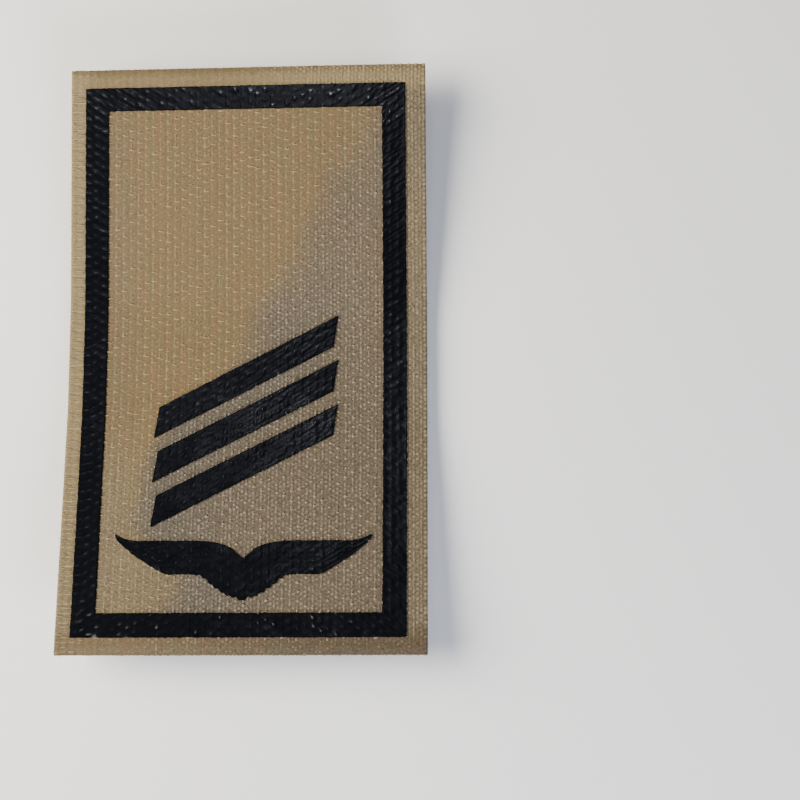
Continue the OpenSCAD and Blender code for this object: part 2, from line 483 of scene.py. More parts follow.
# Starts a material, and gives its graph the coordinates and the wear, painted light and shade that the
# pieces carry
def startMaterial(name, roughness, ior):
    material = bpy.data.materials.new(name)
    material.use_nodes = True
    graph = {"tree": material.node_tree}
    shader = material.node_tree.nodes["Principled BSDF"]
    giveInputs(graph, shader, {"Roughness": roughness, "IOR": ior})
    graph["coords"] = addNode(graph, "ShaderNodeTexCoord").outputs["Object"]
    graph.update(addNode(graph, "ShaderNodeSeparateXYZ", ("coords",)).outputs.items())
    for name in ("strandTone", "grey", "bleached", "soiled", "relief"):
        graph[name] = addNode(graph, "ShaderNodeAttribute", attribute_name=name).outputs["Fac"]
    return material, shader, graph


# Mixes colours over each other in turn, each by its own share
def layColours(graph, colour, layers):
    for share, over in layers:
        colour = addNode(graph, "ShaderNodeMix", (share, colour, linearColour(over)), data_type="RGBA")
    return colour


# Mottles a colour: slow greenish and brownish stretches along the ends, and a fine grain that is stronger
# where the yarns are bare; then greyer bare yarn, painted light on the side and top margins and painted
# shade on the bottom margin
def mottle(graph, colour):
    width, length = mottling["driftWidth"] * mm, mottling["driftLength"] * mm
    addSteps(graph, (
        ("drift", "ShaderNodeMapping", {"Vector": "coords", "Scale": (1 / width, 1 / length, 1.0)}),
        ("drift", "ShaderNodeTexNoise", {"Vector": "drift", "Scale": 1.0, "Detail": 2.0}),
        ("grain", "ShaderNodeTexNoise",
         {"Vector": "coords", "Scale": 1 / (mottling["grain"] * mm), "Detail": 1.0}),
    ))
    addFades(graph, mottlingFades, "LINEAR")
    addSteps(graph, (
        ("depth", "MULTIPLY_ADD", "grey", mottling["bareGrainDepth"], mottling["grainDepth"]),
        ("speck", "ADD", "grain", -0.5),
        ("speck", "MULTIPLY_ADD", "speck", "depth", 1.0),
        ("tone", "ADD", "strandTone", -0.5),
        ("speck", "MULTIPLY_ADD", "tone", mottling["toneDepth"], "speck"),
        # painted shade: darker towards the right on the bottom margin
        ("speck", "MULTIPLY", "speck", "clean"),
    ))
    colour = layColours(graph, colour, (
        ("greener", colours["sandGreen"]),
        ("browner", colours["sandBrown"]),
        ("grey", colours["sandBare"]),
        # painted light: paler yarn on the margins
        ("bleached", colours["sandPaintedLight"]),
    ))
    return addNode(graph, "ShaderNodeHueSaturation", {"Value": "speck", "Color": colour})


# Nylon multifilament yarn, woven and heat set: matt, with fine filaments along it that break the light into
# streaks, and small differences in dye from yarn to yarn
def yarnMaterial(name, alongY):
    material, shader, graph = startMaterial(name, 0.6, 1.53)
    filament = 1 / (yarnLook["filament"] * mm)
    streak = 1 / (yarnLook["streak"] * mm)
    scale = (filament, streak, filament) if alongY else (streak, filament, filament)
    addSteps(graph, (
        ("fibres", "ShaderNodeMapping", {"Vector": "coords", "Scale": scale}),
        ("fibres", "ShaderNodeTexNoise", {"Vector": "fibres", "Scale": 1.0, "Detail": 2.0}),
        ("blotch", "ShaderNodeTexNoise",
         {"Vector": "coords", "Scale": 1 / (yarnLook["blotch"] * mm), "Detail": 3.0, "Roughness": 0.6}),
    ))
    addFades(graph, yarnFades, "LINEAR")
    colour = layColours(graph, linearColour(colours["sand"]), (
        ("strandTone", colours["sandPale"]),
        ("uneven", colours["sandDeep"]),
        # painted shade: deeper colour in the gaps between the filaments
        ("seamShade", colours["sandDeep"]),
    ))
    mottled = mottle(graph, colour)
    addSteps(graph, (
        ("rough", "ADD", "fibres", "grain"),
        ("bump", "ShaderNodeBump", {"Strength": 0.5, "Distance": 0.02 * mm, "Height": "rough"}),
    ))
    giveInputs(graph, shader, {"Base Color": mottled, "Normal": "bump", "Sheen Weight": 0.15,
                               "Sheen Roughness": 0.4})
    return material


# Nylon monofilament, drawn: smoother and brighter than the yarns, so that its short floats catch the light
# as dots
def monofilamentMaterial(name, colour, bareColour, roughness):
    material, shader, graph = startMaterial(name, roughness, 1.53)
    deeper = [c * 0.85 for c in linearColour(colour)[:3]] + [1.0]
    dyed = layColours(graph, deeper, (("strandTone", colour), ("grey", bareColour)))
    giveInputs(graph, shader, {"Base Color": dyed})
    return material


# Acrylic back coat on the web, knife coated: dull, and coloured deeper than the yarns as painted shade in
# the grooves, darker still where the yarns are bare
def webMaterial():
    material, shader, graph = startMaterial("acrylicBackCoatPaintedShade", 0.8, 1.49)
    cloudy = addNode(graph, "ShaderNodeTexNoise", {"Vector": "coords", "Scale": 1 / (0.5 * mm)})
    coat = layColours(graph, linearColour(colours["web"]), ((cloudy, colours["sandDeep"]),))
    mottled = mottle(graph, coat)
    addSteps(graph, (
        # painted shade: the coat darker where the yarns are bare and the grooves deeper
        ("shade", "ShaderNodeMapRange", "grey", 0.0, 1.0, 1.0, 0.82),
        ("shaded", "ShaderNodeHueSaturation", {"Value": "shade", "Color": mottled}),
        ("bump", "ShaderNodeBump", {"Strength": 0.4, "Distance": 0.03 * mm, "Height": "grain"}),
    ))
    giveInputs(graph, shader, {"Base Color": "shaded", "Normal": "bump"})
    return material


# Plastisol transfer film, pressed on hot: near black with a soft sheen, creased like thin leather between
# the yarns, polished where it is stretched over them and rubbed through in a few spots at the bottom
def filmMaterial():
    material, shader, graph = startMaterial("plastisolTransferFilm", 0.4, 1.5)
    creases = addNode(graph, "ShaderNodeTexVoronoi",
                      {"Vector": "coords", "Scale": 1 / (filmLook["crease"] * mm)},
                      feature="DISTANCE_TO_EDGE")
    addFades(graph, filmFades, "LINEAR")
    addSteps(graph, (
        ("grain", "ShaderNodeTexNoise",
         {"Vector": "coords", "Scale": 1 / (filmLook["grain"] * mm), "Detail": 3.0}),
        ("patches", "ShaderNodeTexNoise",
         {"Vector": "coords", "Scale": 1 / (filmLook["patch"] * mm), "Detail": 2.0}),
        ("buffed", "ADD", "buffedUp", "buffedLow"),
        ("buffed", "ADD", "buffed", "buffedRight"),
        ("buffed", "ADD", "buffed", "patches"),
        ("gloss", "ShaderNodeMapRange", "buffed", 0.0, 1.0, *filmLook["gloss"]),
        ("gloss", "ADD", "gloss", "crest"),
        ("rough", "ShaderNodeMapRange", "buffed", 0.0, 1.0, *filmLook["dull"]),
        ("rough", "MULTIPLY", "rough", "polished"),
        ("fine", "ShaderNodeBump", {"Strength": 0.2, "Distance": 0.01 * mm, "Height": "grain"}),
        ("creased", "ShaderNodeBump",
         {"Strength": 0.3, "Distance": 0.04 * mm, "Height": creases, "Normal": "fine"}),
    ))
    ink = layColours(graph, linearColour(colours["film"]), (
        ("worn", colours["filmWorn"]),
        ("through", colours["filmThrough"]),
    ))
    giveInputs(graph, shader, {"Base Color": ink, "Specular IOR Level": "gloss", "Roughness": "rough",
                               "Normal": "creased"})
    return material


endMaterial = yarnMaterial("nylonEndsWoven", True)
bindingMaterial = yarnMaterial("nylonBindingEndsWoven", True)
pickMaterial = yarnMaterial("nylonPicksWoven", False)
floatMaterial = monofilamentMaterial("nylonMonofilamentFloats", colours["float"], colours["floatBare"], 0.4)
hookMaterial = monofilamentMaterial("nylonMonofilamentHooks", colours["hook"], colours["hook"], 0.35)
fusedMaterial = monofilamentMaterial("nylonFusedByHotCutting", colours["sand"], colours["sandBare"], 0.5)
coatMaterial = webMaterial()
printMaterial = filmMaterial()

print("materials ready")

# Weave: 96 ends run up the patch and 256 picks cross it. Every second end also binds the hook monofilament.

weave = {
    "ends": 96,
    "picks": 256,
    "endsPerHook": 2,
    "picksPerHook": 4,
    "twill": (0.0, 3.0, 1.0, 2.0),      # picks by which each column of hooks is stepped up
}
seeds = {"stiffness": 7, "floatSize": 4, "floatStray": 8, "hookSplay": 12, "fibreLean": 14, "fibreSize": 15}
endPitch = tapeWidth / weave["ends"]
pickPitch = tapeLength / weave["picks"]
firstEnd = (endPitch - tapeWidth) / 2
firstPick = (pickPitch - tapeLength) / 2


# Adds the number of picks by which a column of the hook monofilament is stepped up
def addTwill(graph):
    turn = addNode(graph, "ShaderNodeMath", ("column", float(len(weave["twill"]))), operation="MODULO")
    step = addNode(graph, "GeometryNodeIndexSwitch", {"Index": turn}, data_type="FLOAT")
    while len(step.index_switch_items) < len(weave["twill"]):
        step.index_switch_items.new()
    for i, picksUp in enumerate(weave["twill"]):
        step.inputs[i + 1].default_value = picksUp
    graph["twill"] = step


strandLook = {
    "softest": 0.75,        # share of its depth that the softest and the stiffest yarn dips
    "stiffest": 1.15,
    "rubReach": 0.6,        # share of the way to the next float over which a yarn is paler
    "tightBead": 0.2,       # share of the beads that is left in the coat
    "weakPair": 0.3,
}
# Where a point lies in the weave
crossingSteps = (
    ("endNumber", "SUBTRACT", "X", firstEnd),
    ("endNumber", "DIVIDE", "endNumber", endPitch),
    ("pickNumber", "SUBTRACT", "Y", firstPick),
    ("pickNumber", "DIVIDE", "pickNumber", pickPitch),
    ("crossing", "ADD", "endNumber", "pickNumber"),
    ("turned", "MULTIPLY", "crossing", math.pi),
    ("wave", "COSINE", "turned"),
    ("column", "MULTIPLY", "endNumber", 1 / weave["endsPerHook"]),
    ("column", "ROUND", "column"),
)
# Height and tone of a yarn there
strandSteps = (
    ("strand", "ROUND", "ownNumber"),
    ("tone", "FunctionNodeRandomValue", 0.0, 1.0, "strand", "Seed"),
    ("stiffness", "FunctionNodeRandomValue", strandLook["softest"], strandLook["stiffest"], "strand",
     seeds["stiffness"]),
    ("depth", "MULTIPLY_ADD", "Bare", "Bare Depth", "Wave Depth"),
    ("depth", "MULTIPLY", "depth", "stiffness"),
    ("rise", "MULTIPLY_ADD", "wave", 0.5, -0.5),
    ("rise", "MULTIPLY_ADD", "rise", "depth", "Level"),
    *(("rise", "MULTIPLY_ADD", name, name + " Rise", "rise")
      for name in ("Bare", "Smooth", "Ribbed", "Weft")),
    # from 0 at a float down to -1 at the last pick before the next one
    ("past", "SUBTRACT", "pickNumber", "twill"),
    ("past", "ADD", "past", 2 * weave["picksPerHook"] + 0.001),
    ("past", "MODULO", "past", float(weave["picksPerHook"])),
    ("past", "MULTIPLY", "past", -1 / (weave["picksPerHook"] - 1)),
    ("rubbed", "ADD", "past", strandLook["rubReach"]),
    ("uneven", "SUBTRACT", 1.0, "Ribbed"),
    ("shade", "ShaderNodeMapRange", "Bare", 0.0, 1.0, "Shade", "Bare Shade"),
    ("lighter", "MULTIPLY_ADD", "rubbed", "Rub", "shade"),
    ("tone", "MULTIPLY_ADD", "lighter", "uneven", "tone"),
    # beads: each crossing a little apart from its neighbours
    ("bead", "FunctionNodeRandomValue", -1.0, 1.0, None, "Seed"),
    ("loose", "MAXIMUM", "Bare", strandLook["tightBead"]),
    ("bead", "MULTIPLY", "bead", "loose"),
    ("tone", "MULTIPLY_ADD", "bead", "Bead Tone", "tone"),
    ("rise", "MULTIPLY_ADD", "bead", "Bead Rise", "rise"),
    # pairs: each second yarn stands out, and every other one of those stands out more
    ("odd", "FLOORED_MODULO", "strand", 2.0),
    ("fourth", "FLOORED_MODULO", "strand", 4.0),
    ("fourth", "LESS_THAN", "fourth", 2.0),
    ("fourth", "MULTIPLY_ADD", "fourth", 1 - strandLook["weakPair"], strandLook["weakPair"]),
    ("odd", "MULTIPLY", "odd", "fourth"),
    ("odd", "MULTIPLY", "odd", "Weft"),
    ("tone", "MULTIPLY_ADD", "odd", "Pair Tone", "tone"),
    ("rise", "MULTIPLY_ADD", "odd", "Pair Rise", "rise"),
    ("dive", "ShaderNodeMapRange", "Bare", 0.0, 1.0, "Dive", "Bare Dive"),
    ("dive", "MULTIPLY", "dive", "uneven"),
    ("rise", "MULTIPLY_ADD", "past", "dive", "rise"),
    ("lift", "ShaderNodeCombineXYZ", 0.0, 0.0, "rise"),
    ("swell", "MULTIPLY_ADD", "wave", "Swell", 1.0),
    ("wander", "ShaderNodeTexNoise", {"Vector": "place", "Scale": "Wobble Scale", "Detail": 2.0}),
)


# A set of parallel yarns as tubes that rise and dip over each other. Ends run along Y and picks along X.
def strandTree(name, sizes, alongY):
    graph = startTree(name, sizes)
    aside, along = (0, 1) if alongY else (1, 0)
    addSteps(graph, (
        ("reach", "ADD", "Length", "Step"),
        ("half", "MULTIPLY", "reach", 0.5),
        ("back", "MULTIPLY", "reach", -0.5),
        ("first", "ShaderNodeCombineXYZ", {aside: "First"}),
        ("gap", "ShaderNodeCombineXYZ", {aside: "Pitch"}),
        ("tail", "ShaderNodeCombineXYZ", {along: "back"}),
        ("head", "ShaderNodeCombineXYZ", {along: "half"}),
        ("path", "GeometryNodeCurvePrimitiveLine", {"Start": "tail", "End": "head"}),
        ("path", "GeometryNodeResampleCurve", {"Curve": "path", "Count": "Steps"}),
        *crossingSteps,
    ))
    if not alongY:
        addSteps(graph, (("wave", "MULTIPLY", "wave", -1.0),))
    graph["ownNumber"] = graph["endNumber" if alongY else "pickNumber"]
    addTwill(graph)
    addSteps(graph, strandSteps)
    noisePush(graph, "wander", "Wobble")
    starts = addNode(graph, "GeometryNodeMeshLine",
                     {"Count": "Count", "Start Location": "first", "Offset": "gap"}, mode="OFFSET")
    corner = (tapeWidth / 2, tapeLength / 2, levels["crest"] + 1)
    addSteps(graph, (
        ("paths", "GeometryNodeInstanceOnPoints", {"Points": starts, "Instance": "path"}),
        ("paths", "GeometryNodeRealizeInstances", "paths"),
        ("shift", "ShaderNodeVectorMath ADD", "lift", "push"),
        ("paths", "GeometryNodeSetPosition", {"Geometry": "paths", "Offset": "shift"}),
        ("inside", "ShaderNodeVectorMath MINIMUM", "place", corner),
        ("inside", "ShaderNodeVectorMath MAXIMUM", "inside", [-v for v in corner]),
        ("paths", "GeometryNodeSetPosition", {"Geometry": "paths", "Position": "inside"}),
        ("paths", "GeometryNodeStoreNamedAttribute",
         {"Geometry": "paths", "Name": "strandTone", "Value": "tone"}),
    ))
    layDown(graph, sweepOval(graph, "paths", "Sides", "Width", "Height", "swell", "Ring Turn"))
    return graph["tree"]


groundEndSizes = {
    "Count": weave["ends"] // 2,
    "First": firstEnd + endPitch,
    "Pitch": 2 * endPitch,
    "Length": tapeLength,
    "Step": pickPitch,
    "Steps": weave["picks"] + 2,
    "Sides": 6,
    "Ring Turn": 0.0,                   # flat side up
    "Width": 0.58,
    "Height": 0.28,
    "Level": levels["crest"] - 0.165,
    "Wave Depth": 0.045,                # how far the yarn dips under each second crossing yarn
    "Bare Depth": 0.07,                 # and how much further where the yarns are bare
    "Dive": 0.0,                        # how far it sinks from one float to the next, and where bare
    "Bare Dive": 0.0,
    "Rub": 0.0,                         # how much paler it is next to the float
    "Shade": -0.35,                     # how much paler it is than the average yarn, and where bare
    "Bare Shade": 0.1,
    "Bead Tone": 1.8,                   # uneven tone and height from crossing to crossing where bare
    "Bead Rise": 0.03,
    "Pair Tone": 0.0,                   # and of each second yarn on the left margin
    "Pair Rise": 0.0,
    "Bare Rise": -0.005,                # how much higher it lies in each worn area
    "Smooth Rise": -0.02,
    "Ribbed Rise": 0.035,
    "Weft Rise": -0.03,
    "Swell": 0.08,
    "Wobble": 0.08,
    "Wobble Scale": 0.9,
    "Seed": 3,
    "Material": endMaterial,
}
bindingEndSizes = dict(groundEndSizes)
bindingEndSizes.update({
    "First": firstEnd, "Sides": 5, "Ring Turn": math.pi / 2, "Width": 0.52, "Height": 0.30,
    "Level": levels["crest"] - 0.15, "Wave Depth": 0.01, "Bare Depth": 0.06, "Dive": 0.035,
    "Bare Dive": 0.04, "Rub": 0.35, "Shade": 0.1, "Bare Shade": 0.0, "Bare Rise": 0.0,
    "Smooth Rise": -0.035, "Ribbed Rise": -0.02, "Weft Rise": -0.07, "Seed": 5, "Material": bindingMaterial,
})
pickSizes = dict(groundEndSizes)
pickSizes.update({
    "Count": weave["picks"], "First": firstPick, "Pitch": pickPitch, "Length": tapeWidth, "Step": endPitch,
    "Steps": weave["ends"] + 2, "Sides": 3, "Ring Turn": math.pi / 2, "Width": 0.30, "Height": 0.26,
    "Level": levels["crest"] - 0.19, "Wave Depth": 0.06, "Bare Depth": 0.0, "Shade": 0.0, "Bare Shade": 0.0,
    "Bead Tone": 0.6, "Bead Rise": 0.0, "Pair Tone": 1.6, "Pair Rise": 0.08, "Bare Rise": 0.0,
    "Smooth Rise": -0.03, "Ribbed Rise": 0.0, "Weft Rise": 0.05, "Swell": 0.10, "Wobble": 0.06, "Seed": 9,
    "Material": pickMaterial,
})
groundEnds = growPiece("ground_ends", strandTree("Ground Ends", groundEndSizes, True), groundEndSizes)
bindingEnds = growPiece("binding_ends", strandTree("Binding Ends", bindingEndSizes, True), bindingEndSizes)
picks = growPiece("woven_picks", strandTree("Woven Picks", pickSizes, False), pickSizes)
print("weave ready")

latticeColumns = weave["ends"] // weave["endsPerHook"]
latticeRows = weave["picks"] // weave["picksPerHook"]
columnPitch = weave["endsPerHook"] * endPitch
rowPitch = weave["picksPerHook"] * pickPitch


# Lattice of the hook monofilament: every second end and every fourth pick, stepped as a broken twill
def latticePoints(graph):
    addSteps(graph, (
        ("grid", "GeometryNodeMeshGrid", (latticeColumns - 1) * columnPitch, (latticeRows - 1) * rowPitch,
         latticeColumns, latticeRows),
        ("column", "DIVIDE", "X", columnPitch),
        ("column", "ADD", "column", (latticeColumns - 1) / 2),
        ("column", "ROUND", "column"),
    ))
    addTwill(graph)
    addSteps(graph, (
        ("up", "ADD", "twill", (1 - weave["picksPerHook"]) / 2),
        ("up", "MULTIPLY", "up", pickPitch),
        ("toPick", "ShaderNodeCombineXYZ", -endPitch / 2, "up"),
        ("points", "GeometryNodeSetPosition", {"Geometry": "grid", "Offset": "toPick"}),
    ))


# Binding floats: short arcs of monofilament that pass over an end and dive again
floatSizes = {
    "Float Length": 1.02,
    "Float Width": 0.30,
    "Float Height": 0.15,
    "Arch": 0.07,               # height of the arc over its ends
    "Peak": -0.40,              # place of the arc's top, from -1 at its left end to 1 at its right end
    "Taper": 0.55,              # share of the width lost at its ends
    "Shift": 0.16,              # to the right of the end that it binds
    "Level": levels["crest"] - 0.035,
    "Slope": -9.0,              # degrees
    "Bare Length": 0.50,        # length where the yarns are bare, as a share of the length in the coat
    "Bare Width": 1.5,
    "Weft Length": 1.4,         # and on the left margin
    "Margin Rise": -0.15,       # on the other margins
    "Weft Rise": 0.065,         # on the left margin
    "Trim": 0.1,                # how far inside the long edges the longest ones are cut
    "Steps": 5,
    "Sides": 4,
    "Seed": 21,
    "Material": floatMaterial,
}
floatSpread = {
    "swing": 0.15,              # to either side, in radians
    "size": (0.5, 1.2),
    "stray": ((-0.1, -0.12, -0.03), (0.1, 0.12, 0.02)),
    "weftSlope": 0.3,           # share of the slope that is left on the left margin
}
arcSteps = (
    ("half", "MULTIPLY", "Float Length", 0.5),
    ("back", "MULTIPLY", "Float Length", -0.5),
    ("tail", "ShaderNodeCombineXYZ", "back"),
    ("head", "ShaderNodeCombineXYZ", "half"),
    ("along", "MULTIPLY_ADD", "factor", 2.0, -1.0),
    ("fromPeak", "SUBTRACT", "along", "Peak"),
    ("leftRun", "SUBTRACT", -1.0, "Peak"),
    ("rightRun", "SUBTRACT", 1.0, "Peak"),
    ("leftShare", "DIVIDE", "fromPeak", "leftRun"),
    ("rightShare", "DIVIDE", "fromPeak", "rightRun"),
    ("away", "MAXIMUM", "leftShare", "rightShare"),
    ("away", "MULTIPLY", "away", "away"),
    ("fall", "MULTIPLY", "Arch", -1.0),
    ("drop", "MULTIPLY", "away", "fall"),
    ("drop", "ShaderNodeCombineXYZ", 0.0, 0.0, "drop"),
    ("lost", "MULTIPLY", "away", "Taper"),
    ("taper", "SUBTRACT", 1.0, "lost"),
    ("arc", "GeometryNodeCurvePrimitiveLine", {"Start": "tail", "End": "head"}),
    ("arc", "GeometryNodeResampleCurve", {"Curve": "arc", "Count": "Steps"}),
    ("arc", "GeometryNodeSetPosition", {"Geometry": "arc", "Offset": "drop"}),
)
floatSteps = (
    ("covered", "SUBTRACT", 1.0, "Bare"),
    ("slope", "RADIANS", "Slope"),
    ("swing", "FunctionNodeRandomValue", -floatSpread["swing"], floatSpread["swing"], None, "Seed"),
    ("turn", "ADD", "slope", "swing"),
    ("turn", "MULTIPLY", "turn", "covered"),
    ("straighter", "ShaderNodeMapRange", "Weft", 0.0, 1.0, 1.0, floatSpread["weftSlope"]),
    ("turn", "MULTIPLY", "turn", "straighter"),
    ("turn", "ShaderNodeCombineXYZ", 0.0, 0.0, "turn"),
    ("tone", "FunctionNodeRandomValue", 0.0, 1.0, None, "Seed"),
    ("size", "FunctionNodeRandomValue", *floatSpread["size"], None, seeds["floatSize"]),
    ("longer", "ShaderNodeMapRange", "Bare", 0.0, 1.0, 1.0, "Bare Length"),
    ("longest", "ShaderNodeMapRange", "Weft", 0.0, 1.0, 1.0, "Weft Length"),
    ("longer", "MULTIPLY", "longer", "longest"),
    ("wider", "ShaderNodeMapRange", "Bare", 0.0, 1.0, 1.0, "Bare Width"),
    ("long", "MULTIPLY", "size", "longer"),
    ("wide", "MULTIPLY", "size", "wider"),
    ("scale", "ShaderNodeCombineXYZ", "long", "wide", "size"),
    ("aside", "MULTIPLY", "covered", "Shift"),
    ("margins", "ADD", "Smooth", "Ribbed"),
    ("level", "MULTIPLY_ADD", "margins", "Margin Rise", "Level"),
    ("level", "MULTIPLY_ADD", "Weft", "Weft Rise", "level"),
    ("level", "ShaderNodeCombineXYZ", "aside", 0.0, "level"),
    ("rightTrim", "SUBTRACT", tapeWidth / 2, "Trim"),
    ("leftTrim", "MULTIPLY", "rightTrim", -1.0),
    ("held", "MINIMUM", "X", "rightTrim"),
    ("held", "MAXIMUM", "held", "leftTrim"),
    ("held", "ShaderNodeCombineXYZ", "held", "Y", "Z"),
)


def floatTree(sizes):
    graph = startTree("Binding Floats", sizes)
    graph["factor"] = addNode(graph, "GeometryNodeSplineParameter")
    addSteps(graph, arcSteps)
    dash = sweepOval(graph, "arc", "Sides", "Float Width", "Float Height", "taper")
    latticePoints(graph)
    addSteps(graph, floatSteps)
    floats = addNode(graph, "GeometryNodeInstanceOnPoints",
                     {"Points": "points", "Instance": dash, "Rotation": "turn", "Scale": "scale"})
    toned = addNode(graph, "GeometryNodeStoreNamedAttribute",
                    {"Geometry": floats, "Name": "strandTone", "Value": "tone"}, domain="INSTANCE")
    stray = addNode(graph, "FunctionNodeRandomValue", (*floatSpread["stray"], None, seeds["floatStray"]),
                    data_type="FLOAT_VECTOR")
    addSteps(graph, (
        ("shift", "ShaderNodeVectorMath ADD", "level", stray),
        ("floats", "GeometryNodeSetPosition", {"Geometry": toned, "Offset": "shift"}),
        ("floats", "GeometryNodeRealizeInstances", "floats"),
        ("floats", "GeometryNodeSetPosition", {"Geometry": "floats", "Position": "held"}),
    ))
    layDown(graph, "floats")
    return graph["tree"]


bindingFloats = growPiece("binding_floats", floatTree(floatSizes), floatSizes)
print("floats ready")

# Coated web that the yarns sit in, with the ends' ribs on its underside

webSizes = {
    "Width": tapeWidth - 0.1,   # just inside the fused edge
    "Length": tapeLength - 0.1,
    "Columns": 2 * weave["ends"] + 1,
    "Rows": weave["picks"] // 4 + 1,
    "Underside": levels["hookRoot"],
    "Thickness": levels["webTop"] - levels["hookRoot"],
    "Rib Depth": 0.14,
    "Coat Wear": 0.04,          # how much thinner the coat is where the yarns are bare
    "Column Tone": 0.5,         # how much paler it is over the binding ends where they aren't
    "Material": coatMaterial,
}
webSteps = (
    ("fromEnd", "SUBTRACT", "X", firstEnd),
    ("turned", "MULTIPLY", "fromEnd", 2 * math.pi / endPitch),
    ("wave", "COSINE", "turned"),
    ("isLow", "LESS_THAN", "Z", 0.1),
    ("rib", "MULTIPLY_ADD", "wave", -0.5, 0.5),
    ("rib", "MULTIPLY", "rib", "Rib Depth"),
    ("rib", "MULTIPLY", "rib", "isLow"),
    ("lift", "ADD", "rib", "Underside"),
    ("isHigh", "SUBTRACT", 1.0, "isLow"),
    ("thin", "MULTIPLY", "Bare", "Coat Wear"),
    ("thin", "MULTIPLY", "thin", "isHigh"),
    ("lift", "SUBTRACT", "lift", "thin"),
    ("lift", "ShaderNodeCombineXYZ", 0.0, 0.0, "lift"),
    ("halfTurned", "MULTIPLY", "turned", 0.5),
    ("columns", "COSINE", "halfTurned"),
    ("columns", "MULTIPLY", "columns", "Column Tone"),
    ("covered", "SUBTRACT", 1.0, "Bare"),
    ("columns", "MULTIPLY", "columns", "covered"),
)


# Gives a flat sheet of faces a thickness: the faces move up, a flipped copy stays below and walls join
# them. The walls come back too, because they stay sharp.
def thicken(graph, sheet):
    up = addNode(graph, "ShaderNodeCombineXYZ", (0.0, 0.0, "Thickness"))
    raised = addNode(graph, "GeometryNodeExtrudeMesh",
                     {"Mesh": sheet, "Offset": up, "Offset Scale": 1.0, "Individual": False}, mode="FACES")
    both = addNode(graph, "GeometryNodeJoinGeometry", (raised,))
    giveInputs(graph, both, (addNode(graph, "GeometryNodeFlipFaces", {"Mesh": sheet}),))
    closed = addNode(graph, "GeometryNodeMergeByDistance", {"Geometry": both, "Distance": 0.001})
    return closed, raised.outputs["Side"]


def webTree(sizes):
    graph = startTree("Coated Web", sizes)
    grid = addNode(graph, "GeometryNodeMeshGrid", ("Width", "Length", "Columns", "Rows"))
    graph["web"], walls = thicken(graph, grid)
    addSteps(graph, (
        *webSteps,
        ("web", "GeometryNodeSetPosition", {"Geometry": "web", "Offset": "lift"}),
        ("web", "GeometryNodeStoreNamedAttribute",
         {"Geometry": "web", "Name": "strandTone", "Value": "columns"}),
    ))
    layDown(graph, "web", walls)
    return graph["tree"]


web = growPiece("coated_web", webTree(webSizes), webSizes)
print("web ready")

# Hooks: cut loops of monofilament that hang from the web and curl back up

hookSizes = {
    "Stem": 0.80,               # straight part, from inside the web down
    "Bend Radius": 0.33,
    "Bend Sweep": 205.0,        # degrees
    "Wire": 0.18,
    "Steps": 6,
    "Sides": 4,
    "Root": levels["hookRoot"] + 0.02,
    "Splay": 0.35,              # radians
    "Seed": 33,
    "Material": hookMaterial,
}
stemShare = 1 / (hookSizes["Steps"] - 1)     # one step for the stem, the rest for the bend
hookSteps = (
    ("bendShare", "ShaderNodeMapRange", "factor", stemShare, 1.0, 0.0, 1.0),
    ("stemShare", "ShaderNodeMapRange", "factor", 0.0, stemShare, 0.0, 1.0),
    ("sweep", "RADIANS", "Bend Sweep"),
    ("angle", "MULTIPLY", "bendShare", "sweep"),
    ("drop", "MULTIPLY", "stemShare", "Stem"),
    ("low", "SINE", "angle"),
    ("low", "MULTIPLY_ADD", "low", "Bend Radius", "drop"),
    ("low", "MULTIPLY", "low", -1.0),
    ("out", "COSINE", "angle"),
    ("out", "SUBTRACT", 1.0, "out"),
    ("out", "MULTIPLY", "out", "Bend Radius"),
    ("bentPlace", "ShaderNodeCombineXYZ", "out", 0.0, "low"),
    ("around", "MULTIPLY", "facing", math.pi),
    ("splay", "FunctionNodeRandomValue", -1.0, 1.0, None, seeds["hookSplay"]),
    ("around", "MULTIPLY_ADD", "splay", "Splay", "around"),
    ("around", "ShaderNodeCombineXYZ", 0.0, 0.0, "around"),
    ("tone", "FunctionNodeRandomValue", 0.0, 1.0, None, "Seed"),
    ("level", "ShaderNodeCombineXYZ", 0.0, 0.0, "Root"),
    ("hook", "GeometryNodeCurvePrimitiveLine", {"End": (0.0, 0.0, -1.0)}),
    ("hook", "GeometryNodeResampleCurve", {"Curve": "hook", "Count": "Steps"}),
    ("hook", "GeometryNodeSetPosition", {"Geometry": "hook", "Position": "bentPlace"}),
)


def hookTree(sizes):
    graph = startTree("Hook Field", sizes)
    graph["factor"] = addNode(graph, "GeometryNodeSplineParameter")
    graph["facing"] = addNode(graph, "FunctionNodeRandomValue", {"Probability": 0.5, "Seed": "Seed"},
                              data_type="BOOLEAN")
    addSteps(graph, hookSteps)
    hook = sweepOval(graph, "hook", "Sides", "Wire", "Wire", upright=False)
    latticePoints(graph)
    hooks = addNode(graph, "GeometryNodeInstanceOnPoints",
                    {"Points": "points", "Instance": hook, "Rotation": "around"})
    toned = addNode(graph, "GeometryNodeStoreNamedAttribute",
                    {"Geometry": hooks, "Name": "strandTone", "Value": "tone"}, domain="INSTANCE")
    raised = addNode(graph, "GeometryNodeSetPosition", {"Geometry": toned, "Offset": "level"})
    layDown(graph, raised)
    return graph["tree"]


hooks = growPiece("hooks", hookTree(hookSizes), hookSizes)
print("hooks ready")

# Fused edge: hot cutting melts the yarns' ends into a thin lumpy rim all round

rimSizes = {
    "Step": 0.35,               # between two stations along the edge
    "Inset": 0.15,
    "Width": 0.22,
    "Height": 0.86,
    "Level": (levels["hookRoot"] + levels["crest"]) / 2,
    "Lumps": 0.10,
    "Lump Scale": 1.3,
    "Sides": 6,
    "Material": fusedMaterial,
}
rimFades = {"lump": ("noise", 0.3, 0.7, 0.85, 1.1)}


